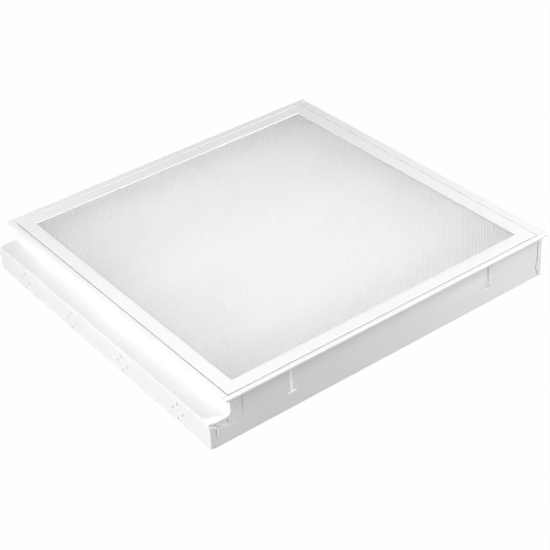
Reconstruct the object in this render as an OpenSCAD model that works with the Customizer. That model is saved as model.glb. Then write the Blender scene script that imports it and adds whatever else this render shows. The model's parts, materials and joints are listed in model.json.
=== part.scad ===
// Recessed 2 x 2 ft fluorescent ceiling light with a hinged flush door and a prismatic lens.
// It lies on its back, lens up: +Z points to the room side once it is installed.
// The origin is on the flat back, under the centre of the square ceiling trim.
// The hinge end of the door is at -Y, the latch end at +Y, and the raised wing at -X.

/* [Housing] */
// Outer width and length of the square ceiling trim
trim_w = 603.25; // [600:0.25:606]
// Depth from the room face of the trim to the flat back
depth = 79.4; // [78:0.1:88]
// Thickness of the steel sheet of housing and door
sheet = 0.8; // [0.7:0.1:0.9]
// Inner radius of the sharp bends in the housing sheet
bend_r = 0.8; // [0.4:0.1:0.9]
// Width of the trim strip that shows from the room
strip_w = 8.6; // [8.2:0.1:9.0]
// Height of the trim's outer and inner lips
lip_h = 4; // [3.6:0.1:4.4]
// From the trim's edge in to the outside of the wing side wall
wing_side_inset = 11.2; // [11:0.1:12]
// From the trim's edge in to the outside of the plain side wall
plain_side_inset = 3.2; // [2.6:0.1:3.4]
// From the trim's edge in to the outside of the end plate at the hinge end
hinge_end_inset = 10.6; // [10.4:0.1:11.2]
// From the trim's edge in to the outside of the end plate at the latch end
latch_end_inset = 5; // [4.4:0.1:5.2]
// Drop from the room face to the shelf on top of the wing
shelf_drop = 36.6; // [34:0.2:39]
// How far the wing stands out past the trim's edge
wing_out = 24.6; // [22:0.2:27]
// Radius of the cove where the wing side wall turns into the shelf
cove_r = 7; // [4:0.5:9]
// Clearance between the edge of an end plate and the housing sheet
plate_fit = 0.1; // [0.05:0.05:0.3]

/* [End plates] */
// Distance of each T slot from the middle of the end plate
tee_x = 186; // [150:1:220]
// Width of the upright of a T slot
tee_stem_w = 4.9; // [4.8:0.1:6]
// Width of the crossbar of a T slot
tee_bar_w = 16.2; // [15.5:0.1:20]
// Height of the crossbar of a T slot
tee_bar_h = 3.6; // [3.4:0.1:5]
// Drop from the room face to the middle of the crossbar
tee_drop = 51.8; // [46:0.1:56]
// Depth of the pressed band that follows the cove
band_depth = 0.5; // [0.3:0.1:0.6]
// Width of the pressed band beside the wing side wall
band_w = 20.4; // [18:0.2:24]
// Height of the pressed band below the shelf
band_h = 16.6; // [14:0.2:20]
// Corner radius of the pressed band
band_r = 17.6; // [12:0.2:20]
// Width of the folded tab on the wing side wall
side_tab_w = 11; // [9:0.5:13]
// Height of the folded tab under the shelf
shelf_tab_h = 10.4; // [8:0.2:12]
// Width of the folded tab on the wing's outer wall
wing_tab_w = 11.4; // [9:0.2:12]
// Height of the folded tab on the wing's outer wall
wing_tab_h = 24; // [16:0.5:28]
// Width of the folded tab on the plain side wall
plain_tab_w = 7.4; // [7:0.2:10]
// Height of the step in the tab on the plain side wall, above the back
step_z = 14; // [12:0.5:18]
// Height of that step itself
step_h = 13; // [10:0.2:20]
// Distance of the small notch in the latch end's trim from the trim's wing side edge
notch_in = 36.4; // [30:0.2:60]
// Width of that notch
notch_w = 3; // [2:0.2:5]

/* [Wing wall] */
// Radius of the round wiring knockouts
knockout_r = 11.1; // [9:0.1:14]
// How far a knockout is pressed in
knockout_in = 0.4; // [0.2:0.05:0.6]
// Width of the slots behind the lampholders
lug_slot_w = 2.2; // [1.8:0.1:2.6]
// Height of the slots behind the lampholders
lug_slot_h = 4.2; // [3.6:0.1:4.6]
// Distance of those slots from the axis of the lamp
lug_circle_r = 12.4; // [12:0.1:12.6]

/* [Door] */
// Gap between the trim and the door at the hinge end
hinge_gap = 1.2; // [1.0:0.1:1.5]
// Gap between the trim and the door at the latch end
latch_gap = 5.85; // [5:0.05:7.5]
// Gap between the trim and the door on the wing side
side_gap = 1; // [0.8:0.1:1.6]
// Gap between the trim and the door on the plain side
plain_gap = 7.85; // [6:0.05:9]
// Width of the door's rails
rail_w = 22.4; // [20:0.2:26]
// Width of the folded rim of the door
rim_w = 3.2; // [3.0:0.1:3.8]
// Open gap inside the folded rim
hem_gap = 0.2; // [0.1:0.05:0.3]
// Height of the stiffening leg inside the rim
leg_h = 11; // [10:0.2:13]
// Mid-sheet radius of the bends of a rail
rail_bend = 0.8; // [0.5:0.1:1]
// Depth of the lens face below the door's face
lens_recess = 2; // [1.9:0.1:2.6]
// Thickness of the prismatic lens
lens_t = 3.2; // [2.4:0.1:3.4]
// How far the lens reaches under the rails
lens_lap = 8; // [6:0.2:9]
// Length of each leg of a corner gusset
gusset_l = 36; // [24:1:50]
// Width of each leg of a corner gusset
gusset_w = 9; // [6:0.5:9.5]
// Width of a lens clip
clip_w = 16; // [10:1:24]
// Distance of the lens clips from the middle of the front and rear rails
clip_x = 110; // [60:5:200]
// Distance of the lens clips from the middle of the left and right rails
clip_y = 150; // [60:5:200]

/* [Hinges and latches] */
// Radius of the hinge's cross pin
pin_r = 1.5; // [1.2:0.1:1.6]
// Length of the hinge's cross pin
pin_l = 14; // [12:0.5:15]
// Width of the hinge's curved neck
neck_w = 3.6; // [3:0.1:4]
// Thickness of the hinge's curved neck
neck_t = 1.6; // [1.2:0.1:1.8]
// Radius of the middle of the curved neck about the cross pin
neck_r = 6.1; // [6:0.1:6.4]
// Distance from the trim's edge in to the hinge axis
hinge_in = 4.6; // [4.4:0.1:4.8]
// Clearance between moving steel pieces
run_gap = 0.3; // [0.2:0.05:0.4]
// Distance of each latch from the trim's edge at its side
latch_inset = 39.6; // [38:0.1:140]
// Width of a latch bolt
bolt_w = 12; // [9:0.5:16]
// Thickness of a latch bolt
bolt_t = 1.2; // [1:0.1:1.4]
// How far a latch bolt slides out to lock
bolt_travel = 3; // [2.4:0.1:3.2]
// Thickness of the walls of a latch guide
guide_t = 1.2; // [1:0.1:1.6]

/* [Lamps] */
// Distance between two lamps
lamp_pitch = 143; // [138:1:145]
// Height of the lamp axes above the back
lamp_z = 18.5; // [18.3:0.1:19.4]
// Thickness of a lampholder, from the wall it stands against to the lamp
holder_t = 16.3; // [16:0.1:20]
// Radius of the glass tube
tube_r = 12.7; // [12:0.1:12.7]
// Wall of the glass tube
tube_wall = 0.8; // [0.6:0.1:1.2]
// Wall of the lamp's metal bases
base_wall = 0.3; // [0.2:0.05:0.3]
// Length of the lamp's metal bases
base_l = 10; // [8:0.5:14]
// Distance between the two pins of a base
pin_pitch = 12.7; // [12:0.1:13]
// Radius of a base pin
base_pin_r = 1.18; // [1:0.02:1.25]
// Length of a base pin
base_pin_l = 7.1; // [6.6:0.1:7.4]
// Radius of the turning rotor in a lampholder
rotor_r = 8.9; // [8.6:0.1:9.2]
// Depth of the turning rotor in a lampholder
rotor_l = 9; // [8.4:0.2:10]
// Gap round the turning rotor
rotor_gap = 0.2; // [0.1:0.05:0.3]
// Radius of the lampholder's rounded top
holder_r = 11.4; // [11:0.1:11.8]
// Gap between a lamp base and its lampholder
lamp_gap = 0.3; // [0.2:0.05:0.5]

/* [Ballast and wiring] */
// Length of the ballast case
ballast_l = 240; // [180:5:260]
// Width of the ballast case
ballast_w = 42; // [36:1:44]
// Height of the ballast case
ballast_h = 28; // [24:0.5:29]
// Height of the ballast cover above the back
cover_h = 34; // [33:0.5:37]
// Width of the flat top of the ballast cover
cover_top_w = 54; // [52:1:60]
// Width between the feet of the ballast cover
cover_base_w = 84; // [82:1:88]
// Thickness of a wire bundle
bundle_d = 4; // [3:0.1:4.2]
// Radius of the open wiring hole in the access plate
supply_r = 11.1; // [9:0.1:12]

/* [Hidden] */
$fn = 48;

// How far a cut runs past the face it opens
cut = 1;
half = trim_w / 2;
skin = sheet / 2;
bend = bend_r + skin;

// Faces of the housing, measured from the centre of the trim
wing_x = -half - wing_out;
wing_side_x = -half + wing_side_inset;
plain_x = half - plain_side_inset;
front_y = -half + hinge_end_inset;
rear_y = half - latch_end_inset;
mid_y = (front_y + rear_y) / 2;
strip_y = half - strip_w;
shelf_z = depth - shelf_drop;
ledge_z = depth - lip_h;
inner_left = wing_x + sheet;
inner_right = plain_x - sheet;

// Door corners and layers
door_x0 = -strip_y + side_gap;
door_x1 = strip_y - plain_gap;
door_y0 = -strip_y + hinge_gap;
door_y1 = strip_y - latch_gap;
door_w = door_x1 - door_x0;
door_l = door_y1 - door_y0;
hem_step = sheet + hem_gap;
rim_under = depth - sheet - hem_step;
leg_in = rim_w + sheet;
lens_top = depth - lens_recess;
lens_under = lens_top - lens_t;
gusset_t = lens_recess - sheet - 0.2;
gusset_in = leg_in + 0.3;
clip_reach = rail_w - lens_lap - leg_in + 4.6;
clip_tail = 5.4;

// The hinge axis runs along X under the trim strip of the hinge end
axis_y = -half + hinge_in;
axis_z = depth - sheet - run_gap - pin_r;
neck_drop = neck_r * sin(45);
tail_z = axis_z - neck_drop;

// Latch bolt: its top runs just under the ledge, and its tip rests short of the inner lip
ledge_under = ledge_z - sheet;
bolt_z = min(ledge_under, lens_under) - 0.6 - bolt_t / 2;
bolt_tip_gap = 0.7;
bolt_tip_y = strip_y - bolt_tip_gap;
leg_face_y = door_y1 - leg_in;
latch_x = half - latch_inset;
guide_l = 6.4;
head_l = 1.5;
bolt_tail_y = leg_face_y - guide_l - run_gap - bolt_travel - head_l;
thumb_t = 0.8;
thumb_y = door_y1 + run_gap;
thumb_top = depth - 2.6;

// Lamp rows, lampholders and lamp ends
lamp_rows = [for (i = [0:3]) mid_y + (i - 1.5) * lamp_pitch];
lamp_x0 = inner_left + holder_t + lamp_gap;
lamp_x1 = inner_right - holder_t - lamp_gap;
base_r = tube_r + base_wall;
base_end_t = 1;
flange_r = lug_circle_r + 3;
flange_t = 4;
corner_clear = bend_r + 0.2;

// Corner of the wing at an end plate: relief, slit beside the shelf tab, slope of the wing tab
relief_h = 3.6;
relief_d = 1.4;
corner_slit_l = 13;
corner_end = 12.5;
wing_tab_slope = 6.2;

// Ballast cover, access plate and wiring
cover_x0 = wing_side_x + sheet + 8;
cover_x1 = lamp_x1 - 12;
foot_w = 9;
foot_y = cover_base_w / 2 + foot_w / 2;
screw_in = 30;
screw_xs = [cover_x0 + screw_in, (cover_x0 + cover_x1) / 2, cover_x1 - screw_in];
screw_r = 1.7;
stud_gap = 9;
stud_y = mid_y - ballast_w / 2 + 4;
access_w = 78;
access_l = 46;
access_lap = 4;
access_in = 14.6;
access_x = cover_x0 + access_in + access_w / 2;
tongue_l = 16;
tongue_screw_x = access_x + access_w / 2 + tongue_l - 6;
ground_r = 5;
ground_x = access_x + access_w / 2 + tongue_l + 9.5;
harness_z = sheet + bundle_d / 2;
trunk_y = mid_y + ballast_w / 2 + 9;
branch_left_x = inner_left + holder_t + 7;
branch_right_x = inner_right - holder_t - 7;
nut_r = 4.4;
nut_z = sheet + nut_r;
nut_step = 11;
nut_l = 16;
feed_back = 6;
nut_x = ground_x + ground_r + 3.5 + bundle_d / 2 + feed_back;
nut_ys = [mid_y - nut_step, mid_y, mid_y + nut_step];
ballast_x = nut_x + 2 * nut_l + 1 + ballast_l / 2;

white = [0.95, 0.95, 0.94];
bright = [0.98, 0.98, 0.97];
lens_white = [0.86, 0.88, 0.89, 0.8];
zinc = [0.72, 0.73, 0.75];
alu = [0.8, 0.81, 0.82];
black = [0.12, 0.12, 0.13];
cream = [0.93, 0.93, 0.9];
grey = [0.62, 0.63, 0.65];
amber = [0.85, 0.55, 0.2];
green = [0.2, 0.45, 0.25];

// Geometry of bent sheet
function unit(v) = v / norm(v);
function to_left(v) = [-v[1], v[0]];
function turned(v, a) = [v[0] * cos(a) - v[1] * sin(a), v[0] * sin(a) + v[1] * cos(a)];
function reversed(v) = [for (i = [len(v) - 1:-1:0]) v[i]];

// Points of the bend at corner i of path p, on the face `off` to the left of the middle line
function bend_points(p, r, off, i) =
    let(
        d0 = unit(p[i] - p[i - 1]),
        d1 = unit(p[i + 1] - p[i]),
        a = atan2(cross(d0, d1), d0 * d1),
        s = sign(a),
        start = p[i] - r * tan(abs(a) / 2) * d0,
        centre = start + s * r * to_left(d0),
        steps = r > 3 ? 10 : 4
    )
    [for (k = [0:steps]) centre - s * (r - s * off) * to_left(turned(d0, a * k / steps))];

// One whole face of a bent sheet, from end to end
function face_points(p, radii, off) =
    let(
        n = len(p),
        first = unit(p[1] - p[0]),
        last = unit(p[n - 1] - p[n - 2])
    )
    concat(
        [p[0] + off * to_left(first)],
        [for (i = [1:n - 2]) each bend_points(p, radii[i - 1], off, i)],
        [p[n - 1] + off * to_left(last)]
    );

// Cross-section of a sheet of thickness t, bent along the middle line p
module bent_sheet(p, radii, t = sheet) {
    polygon(concat(face_points(p, radii, t / 2), reversed(face_points(p, radii, -t / 2))));
}

// Stands a section drawn in X and Z upright and runs it along Y
module along_y(y0, y1) {
    translate([0, y1, 0])
        rotate([90, 0, 0])
            linear_extrude(y1 - y0)
                children();
}

// Stands a section drawn in Y and Z upright and runs it along X
module along_x(x0, x1) {
    translate([x0, 0, 0])
        rotate([90, 0, 90])
            linear_extrude(x1 - x0)
                children();
}

// A box given by two corners
module box(a, b) {
    translate(a)
        cube(b - a);
}

// A round bar or hole along X
module bar_x(x0, x1, y, z, r) {
    translate([x0, y, z])
        rotate([0, 90, 0])
            cylinder(r = r, h = x1 - x0);
}

// A round bar or hole along Y
module bar_y(y0, y1, x, z, r) {
    translate([x, y0, z])
        rotate([-90, 0, 0])
            cylinder(r = r, h = y1 - y0);
}

// Middle line of the housing sheet, from the wing side trim round to the plain side trim
pan_path = [
    [-half + skin, ledge_z],
    [-half + skin, depth - skin],
    [-strip_y - skin, depth - skin],
    [-strip_y - skin, ledge_z - skin],
    [wing_side_x + skin, ledge_z - skin],
    [wing_side_x + skin, shelf_z - skin],
    [wing_x + skin, shelf_z - skin],
    [wing_x + skin, skin],
    [plain_x - skin, skin],
    [plain_x - skin, ledge_z - skin],
    [strip_y + skin, ledge_z - skin],
    [strip_y + skin, depth - skin],
    [half - skin, depth - skin],
    [half - skin, ledge_z]
];
pan_radii = [bend, bend, bend, bend, cove_r + skin, bend + skin, bend, bend, bend, bend, bend, bend];

// Four slots round each lamp axis, drawn in Y and Z
module lug_pattern(w, h) {
    for (a = [0:90:270])
        translate([lug_circle_r * cos(a), lug_circle_r * sin(a)])
            square([w, h], center = true);
}

// Folded tabs of the housing sheet over one end plate whose outside is at y
module end_tabs(y) {
    along_y(y - band_depth, y + sheet - band_depth) {
        polygon([
            [wing_side_x, ledge_z - 3],
            [wing_side_x + side_tab_w, ledge_z - 3],
            [wing_side_x + side_tab_w, shelf_z + 9.4],
            [wing_side_x + 1.4, shelf_z + 5.2],
            [wing_side_x, shelf_z + 5.2]
        ]);
        polygon([
            [wing_side_x - cove_r + 1, shelf_z],
            [wing_side_x - cove_r + 1, shelf_z - shelf_tab_h + 4],
            [wing_side_x - cove_r - 1.2, shelf_z - shelf_tab_h],
            [wing_x + corner_end + 1.4, shelf_z - shelf_tab_h],
            [wing_x + 8.2, shelf_z]
        ]);
    }
    along_y(y - sheet, y + sheet) {
        polygon([
            [wing_x, shelf_z - relief_h],
            [wing_x + sheet, shelf_z - relief_h],
            [wing_x + sheet, shelf_z - 5.4 - wing_tab_h],
            [wing_x, shelf_z - 5.4 - wing_tab_h]
        ]);
        translate([plain_x - sheet, 7])
            square([sheet, ledge_z - 16]);
    }
    along_y(y, y + sheet) {
        polygon([
            [wing_x, shelf_z - relief_h],
            [wing_x + wing_tab_w - 0.4, shelf_z - relief_h - wing_tab_slope],
            [wing_x + wing_tab_w, shelf_z - 4.6 - wing_tab_h],
            [wing_x, shelf_z - 5.4 - wing_tab_h]
        ]);
        polygon([
            [plain_x - plain_tab_w, ledge_z - 9],
            [plain_x - plain_tab_w, step_z + step_h + 0.4],
            [plain_x - plain_tab_w - 2.4, step_z + step_h],
            [plain_x - plain_tab_w - 2.4, step_z],
            [plain_x - plain_tab_w, step_z - 1],
            [plain_x - plain_tab_w + 1, 7],
            [plain_x, 7],
            [plain_x, ledge_z - 9]
        ]);
    }
}

// Relief cuts that let the housing sheet fold into tabs at one end
module end_reliefs(y) {
    box([wing_x - cut, y - relief_d, shelf_z - relief_h], [wing_x + 7.2, y + cut, shelf_z + cut]);
    box([wing_x - cut, y - 1.2, -cut], [wing_x + 5.4, y + cut, 2.6]);
}

// One sheet bent into trim, walls, cove, wing and back, with folded tabs at both ends
module housing_pan() {
    color(white)
    difference() {
        union() {
            difference() {
                along_y(-strip_y, rear_y)
                    bent_sheet(pan_path, pan_radii);
                box([wing_x - cut, -half, -cut], [half + cut, front_y, ledge_under]);
                box([wing_x - cut, strip_y, ledge_under], [half + cut, half, depth + cut]);
                end_reliefs(rear_y);
                mirror([0, 1, 0])
                    end_reliefs(-front_y);
            }
            end_tabs(rear_y);
            mirror([0, 1, 0])
                end_tabs(-front_y);
            box([-half, -half + sheet, ledge_z], [-half + sheet, half - sheet, depth - sheet]);
            box([half - sheet, -half + sheet, ledge_z], [half, half - sheet, depth - sheet]);
            for (y = [mid_y - lamp_pitch, mid_y + lamp_pitch])
                bar_x(inner_left - skin, inner_left + knockout_in, y, lamp_z, knockout_r + sheet);
        }
        for (y = lamp_rows) {
            along_x(wing_x - cut, inner_left + skin)
                translate([y, lamp_z])
                    lug_pattern(lug_slot_w, lug_slot_h);
            along_x(inner_right - skin, plain_x + cut)
                translate([y, lamp_z])
                    lug_pattern(lug_slot_w, lug_slot_h);
        }
        for (y = [mid_y - lamp_pitch, mid_y + lamp_pitch])
            bar_x(wing_x - cut, wing_x + knockout_in, y, lamp_z, knockout_r);
        translate([access_x, mid_y, 0])
            box([-access_w / 2, -access_l / 2, -cut], [access_w / 2, access_l / 2, sheet + cut]);
        for (x = screw_xs, y = [mid_y - foot_y, mid_y + foot_y])
            translate([x, y, -cut])
                cylinder(r = screw_r, h = sheet + 2 * cut);
        translate([tongue_screw_x, mid_y, -cut])
            cylinder(r = screw_r, h = sheet + 2 * cut);
    }
}

// Outline of an end plate in X and Z: the inside of the housing sheet, less the fit
module plate_outline() {
    difference() {
        intersection() {
            polygon(face_points(
                [for (i = [3:10]) pan_path[i]],
                [for (i = [3:8]) pan_radii[i]],
                skin + plate_fit
            ));
            translate([wing_x, 0])
                square([plain_x - wing_x, ledge_z - 2]);
        }
        polygon([
            [wing_x, shelf_z - 4],
            [wing_x, shelf_z + cut],
            [wing_x + 7.4, shelf_z + cut],
            [wing_x + 7.4, shelf_z - sheet]
        ]);
    }
}

// The pressed band beside the wing side wall and under the shelf
module band_outline() {
    right = wing_side_x + sheet + band_w;
    low = shelf_z - band_h;
    polygon([
        [wing_side_x, ledge_z - 2.4],
        [right, ledge_z - 2.4],
        [right, low + band_r],
        [right - band_r, low],
        [wing_side_x - cove_r - 2, low + 1.4],
        [wing_x + corner_end, low + 5],
        [wing_x + 7.4, shelf_z],
        [wing_side_x - cove_r, shelf_z]
    ]);
    translate([right - band_r, low + band_r])
        circle(r = band_r);
}

// T slot, small slits and corner holes of an end plate, drawn in X and Z
module plate_cuts() {
    for (x = [-tee_x, tee_x]) {
        translate([x - tee_stem_w / 2, depth - tee_drop])
            square([tee_stem_w, tee_drop - sheet]);
        translate([x, depth - tee_drop])
            square([tee_bar_w, tee_bar_h], center = true);
    }
    translate([wing_x + 10.3, shelf_z - 5.8])
        rotate(-61.7)
            square([corner_slit_l, 1.1], center = true);
    translate([wing_x - cut, -cut])
        square([5.6 + cut, 2.8 + cut]);
    polygon([
        [plain_x - 9.2, 7.8],
        [plain_x - 8, 4],
        [plain_x - 5.4, 1.8],
        [plain_x - 5.4, -cut],
        [plain_x, -cut],
        [plain_x, 2.4],
        [plain_x - 4.4, 3.4],
        [plain_x - 6.4, 5.2],
        [plain_x - 7.4, 7.8]
    ]);
    translate([plain_x - plain_tab_w - 1, step_z + step_h + 1.4])
        square([1, 20]);
    translate([plain_x - plain_tab_w - 3, step_z + step_h + 0.4])
        square([4.6, 1]);
    translate([plain_x - plain_tab_w - 2.6, step_z - 1.6])
        square([4.4, 1]);
}

// End plate, drawn for the latch end: trim strip, lips, ledge and web
module end_plate(inset) {
    y = half - inset;
    deep = half - max(inset + sheet, strip_w) - cut;
    near = half - min(inset, strip_w - sheet) + cut;
    path = [
        [half - skin, ledge_z],
        [half - skin, depth - skin],
        [strip_y + skin, depth - skin],
        [strip_y + skin, ledge_z - skin],
        [y - skin, ledge_z - skin],
        [y - skin, ledge_z - 3]
    ];
    difference() {
        union() {
            difference() {
                along_x(-half, half)
                    bent_sheet(path, [bend, bend, bend, bend]);
                box([-half - cut, 0, -cut], [-strip_y, half - sheet, depth - sheet]);
                box([-half - cut, 0, -cut], [wing_side_x + sheet + plate_fit, half - sheet, ledge_under]);
                box([-half - cut, 0, -cut], [wing_side_x + sheet + plate_fit, strip_y, depth - sheet]);
                box([-half - cut, half - 2 * sheet, -cut], [-half + sheet, half - sheet, depth - sheet]);
                box([strip_y, 0, -cut], [half + cut, half - sheet, depth - sheet]);
            }
            difference() {
                along_y(y - sheet, y)
                    plate_outline();
                along_y(y - band_depth, y + cut)
                    band_outline();
            }
            along_y(y - sheet - band_depth, y - band_depth)
                intersection() {
                    plate_outline();
                    band_outline();
                }
        }
        along_y(deep - cut, near)
            plate_cuts();
    }
}

module end_plate_front() {
    color(white)
        mirror([0, 1, 0])
            end_plate(hinge_end_inset);
}

module end_plate_rear() {
    color(white)
    difference() {
        end_plate(latch_end_inset);
        box(
            [-half + notch_in, strip_y - cut, depth - lip_h / 2],
            [-half + notch_in + notch_w, strip_y + 3.4, depth + cut]
        );
    }
}

// Plate over the wiring opening in the back, with an open hole for the supply
module access_plate() {
    side = access_w / 2;
    color(white)
    difference() {
        translate([access_x, mid_y, 0]) {
            box(
                [-side - access_lap, -access_l / 2 - access_lap, sheet],
                [side + access_lap, access_l / 2 + access_lap, 2 * sheet]
            );
            box([side, -7, sheet], [side + tongue_l, 7, 2 * sheet]);
        }
        translate([access_x - 12, mid_y, 0])
            cylinder(r = supply_r, h = 3 * sheet);
        translate([tongue_screw_x, mid_y, 0])
            cylinder(r = screw_r, h = 3 * sheet);
    }
}

// Pan head screw standing on the face z, with its shank down into the back
module pan_screw(x, y, z) {
    translate([x, y, 0]) {
        translate([0, 0, 0.1])
            cylinder(r = screw_r - 0.2, h = z);
        translate([0, 0, z])
            cylinder(r = 3.8, h = 0.8);
        translate([0, 0, z + 0.8])
            cylinder(r1 = 3.4, r2 = 2.4, h = 1.2);
    }
}

module access_screw() {
    color(zinc)
        pan_screw(tongue_screw_x, mid_y, 2 * sheet);
}

// Section of a door rail: u runs in from the door's edge, z is the real height
rail_path = [
    [rail_w - skin, lens_top],
    [rail_w - skin, depth - skin],
    [skin, depth - skin],
    [skin, depth - skin - hem_step],
    [rim_w + skin, depth - skin - hem_step],
    [rim_w + skin, depth - leg_h]
];
rail_radii = [rail_bend, hem_step / 2, hem_step / 2, rail_bend];

// A mitred door rail of length l along X, with its outer edge on the X axis
module rail(l) {
    intersection() {
        along_x(0, l)
            bent_sheet(rail_path, rail_radii);
        linear_extrude(depth + cut)
            polygon([[0, 0], [l, 0], [l - rail_w - 1, rail_w + 1], [rail_w + 1, rail_w + 1]]);
    }
}

module door_rail_left() {
    color(bright)
        translate([door_x0, door_y1, 0])
            rotate(-90)
                rail(door_l);
}

module door_rail_right() {
    color(bright)
        translate([door_x1, door_y0, 0])
            rotate(90)
                rail(door_l);
}

module door_rail_front() {
    color(bright)
    difference() {
        translate([door_x0, door_y0, 0])
            rail(door_w);
        for (x = [-tee_x, tee_x])
            box(
                [x - neck_w / 2 - run_gap, door_y0 + rim_w - cut, tail_z - neck_t / 2 - run_gap],
                [x + neck_w / 2 + run_gap, door_y0 + leg_in + cut, tail_z + neck_t / 2 + run_gap]
            );
    }
}

module door_rail_rear() {
    color(bright)
    difference() {
        translate([door_x1, door_y1, 0])
            rotate(180)
                rail(door_w);
        for (x = [-latch_x, latch_x])
            box(
                [x - bolt_w / 2 - run_gap, leg_face_y - cut, bolt_z - bolt_t / 2 - run_gap],
                [x + bolt_w / 2 + run_gap, door_y1 - rim_w + cut, bolt_z + bolt_t / 2 + run_gap]
            );
    }
}

// Flat L pieces that join the rails under the mitred corners
module corner_gussets() {
    color(zinc)
    for (c = [[door_x0, door_y0, 1, 1], [door_x1, door_y0, -1, 1],
              [door_x0, door_y1, 1, -1], [door_x1, door_y1, -1, -1]])
        translate([c[0], c[1], depth - sheet - gusset_t])
            scale([c[2], c[3], 1])
                translate([gusset_in, gusset_in, 0])
                    linear_extrude(gusset_t) {
                        square([gusset_l, gusset_w]);
                        square([gusset_w, gusset_l]);
                    }
}

module prismatic_lens() {
    side = rail_w - lens_lap;
    color(lens_white)
        box([door_x0 + side, door_y0 + side, lens_under], [door_x1 - side, door_y1 - side, lens_top]);
}

// One clip on the leg of a rail that runs along X; its tongue carries the lens
module lens_clip() {
    translate([-clip_w / 2, leg_in, lens_under - sheet])
        cube([clip_w, clip_reach, sheet]);
    translate([-clip_w / 2, leg_in, lens_under - clip_tail])
        cube([clip_w, sheet, clip_tail]);
}

module lens_clips() {
    color(zinc) {
        for (x = [-clip_x, clip_x]) {
            translate([x, door_y0, 0])
                lens_clip();
            translate([x, door_y1, 0])
                rotate(180)
                    lens_clip();
        }
        for (y = [-clip_y, clip_y]) {
            translate([door_x0, y, 0])
                rotate(-90)
                    lens_clip();
            translate([door_x1, y, 0])
                rotate(90)
                    lens_clip();
        }
    }
}

// T-shaped hinge hook: cross pin, curved neck, tail through the rail's leg, and a plate behind it
module t_hinge(x) {
    plate_y = door_y0 + leg_in;
    bar_x(x - pin_l / 2, x + pin_l / 2, axis_y, axis_z, pin_r);
    along_x(x - neck_w / 2, x + neck_w / 2) {
        translate([axis_y, axis_z]) {
            translate([-neck_t / 2, -neck_r])
                square([neck_t, neck_r]);
            intersection() {
                difference() {
                    circle(r = neck_r + neck_t / 2);
                    circle(r = neck_r - neck_t / 2);
                }
                polygon([[-0.1, 0], [-0.1, -10], [10, -10]]);
            }
        }
        translate([axis_y + neck_drop - 0.4, tail_z - neck_t / 2])
            square([plate_y - axis_y - neck_drop + 0.4 + skin, neck_t]);
    }
    box([x - 7, plate_y, depth - leg_h + 0.4], [x + 7, plate_y + 1.2, depth - lens_recess - 0.6]);
}

module t_hinge_left() {
    color(zinc)
        t_hinge(-tee_x);
}

module t_hinge_right() {
    color(zinc)
        t_hinge(tee_x);
}

// Guide box on the rail's leg that carries a latch bolt
module latch_guide(x) {
    w = bolt_w / 2 + run_gap;
    h = bolt_t / 2 + run_gap;
    top = min(bolt_z + h + guide_t, depth - lens_recess - 0.4);
    difference() {
        box([x - w - guide_t, leg_face_y - guide_l, bolt_z - h - guide_t], [x + w + guide_t, leg_face_y, top]);
        box([x - w, leg_face_y - guide_l - cut, bolt_z - h], [x + w, leg_face_y + cut, bolt_z + h]);
    }
}

module latch_guide_left() {
    color(zinc)
        latch_guide(-latch_x);
}

module latch_guide_right() {
    color(zinc)
        latch_guide(latch_x);
}

// Slide bolt: head inside the guide, tongue through the leg, and a thumb tab in the gap
module latch_bolt(x) {
    z0 = bolt_z - bolt_t / 2;
    box([x - bolt_w / 2, bolt_tail_y, z0], [x + bolt_w / 2, bolt_tip_y, z0 + bolt_t]);
    box([x - bolt_w / 2 - 1, bolt_tail_y, z0 - 1.6], [x + bolt_w / 2 + 1, bolt_tail_y + head_l, z0 + bolt_t]);
    box([x - bolt_w / 3, thumb_y, z0], [x + bolt_w / 3, thumb_y + thumb_t, thumb_top]);
}

module latch_bolt_left() {
    color(zinc)
        latch_bolt(-latch_x);
}

module latch_bolt_right() {
    color(zinc)
        latch_bolt(latch_x);
}

// Lampholder, drawn with its back on the plane x = 0 and the lamp on its +X side
module lampholder(y) {
    translate([0, y, 0])
        difference() {
            union() {
                bar_x(0, holder_t, 0, lamp_z, holder_r);
                box([0, -holder_r, sheet], [holder_t, holder_r, lamp_z]);
                bar_x(0, flange_t, 0, lamp_z, flange_r);
            }
            bar_x(holder_t - rotor_l - rotor_gap, holder_t + cut, 0, lamp_z, rotor_r + rotor_gap);
            box([holder_t - rotor_l, -1.5, lamp_z], [holder_t + cut, 1.5, lamp_z + holder_r + cut]);
            along_x(-cut, flange_t - 1)
                translate([0, lamp_z])
                    lug_pattern(lug_slot_w + 0.8, lug_slot_h + 0.6);
            box([-cut, -holder_r - cut, 0], [corner_clear, holder_r + cut, sheet + corner_clear]);
        }
}

module holder_wing(y) {
    color(cream)
        translate([inner_left, 0, 0])
            lampholder(y);
}

module holder_plain(y) {
    color(cream)
        translate([inner_right, 0, 0])
            mirror([1, 0, 0])
                lampholder(y);
}

module lampholder_1_wing() {
    holder_wing(lamp_rows[0]);
}

module lampholder_2_wing() {
    holder_wing(lamp_rows[1]);
}

module lampholder_3_wing() {
    holder_wing(lamp_rows[2]);
}

module lampholder_4_wing() {
    holder_wing(lamp_rows[3]);
}

module lampholder_1_plain() {
    holder_plain(lamp_rows[0]);
}

module lampholder_2_plain() {
    holder_plain(lamp_rows[1]);
}

module lampholder_3_plain() {
    holder_plain(lamp_rows[2]);
}

module lampholder_4_plain() {
    holder_plain(lamp_rows[3]);
}

// Glass tube of one lamp
module lamp_tube(y) {
    color([0.97, 0.97, 0.95])
    difference() {
        bar_x(lamp_x0 + base_end_t, lamp_x1 - base_end_t, y, lamp_z, tube_r);
        bar_x(lamp_x0, lamp_x1, y, lamp_z, tube_r - tube_wall);
    }
}

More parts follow.
